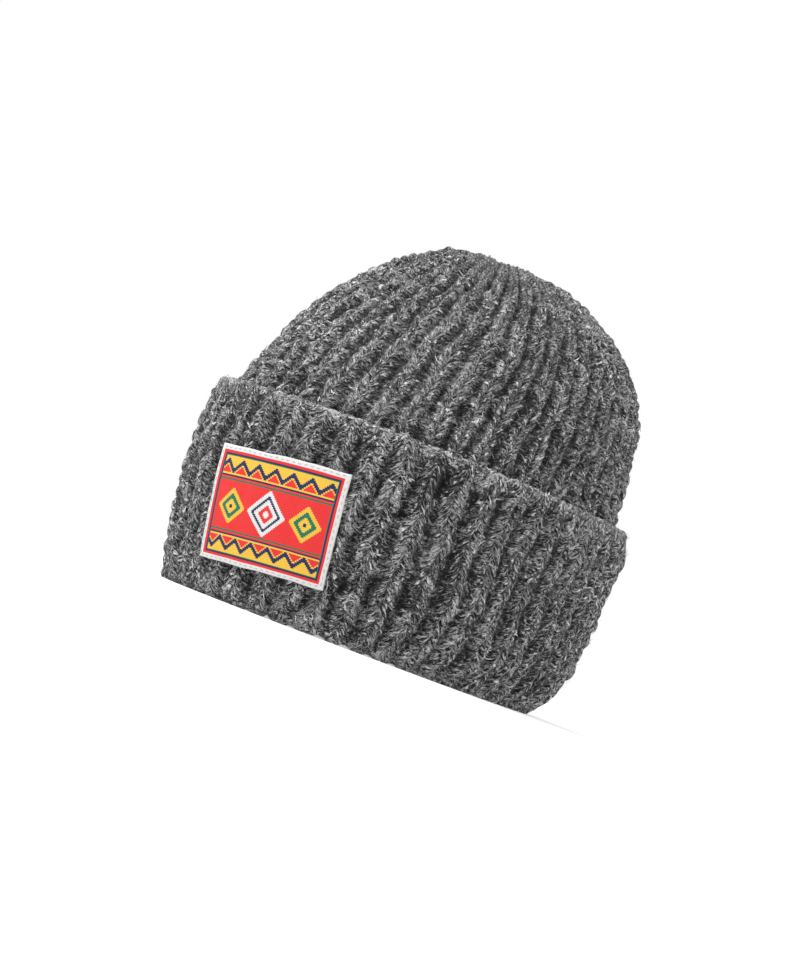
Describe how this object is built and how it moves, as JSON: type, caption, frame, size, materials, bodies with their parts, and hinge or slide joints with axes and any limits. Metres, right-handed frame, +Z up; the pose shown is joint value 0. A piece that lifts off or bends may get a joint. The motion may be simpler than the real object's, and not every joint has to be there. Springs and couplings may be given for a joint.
{
  "type": "ribbed knit beanie",
  "caption": "Thick ribbed wool beanie with a domed crown, a deep turned-up cuff and a woven label on the front of the cuff.",
  "frame": {"origin": "the middle of the hat's outline seen from above, on the plane that its fold rests on", "axes": "+Z up through the crown, -Y to the front with the label, +X to the wearer's left"},
  "size_m": [0.1818, 0.2212, 0.1815],
  "materials": {
    "wool_crown": "marled charcoal wool, ribbed and brushed",
    "wool_cuff": "marled charcoal wool, ribbed and brushed",
    "woven_label": "woven polyester with an off-white edge"
  },
  "bodies": {
    "root": {"crown": "wool_crown", "cuff": "wool_cuff", "label": "woven_label"}
  },
  "joints": []
}
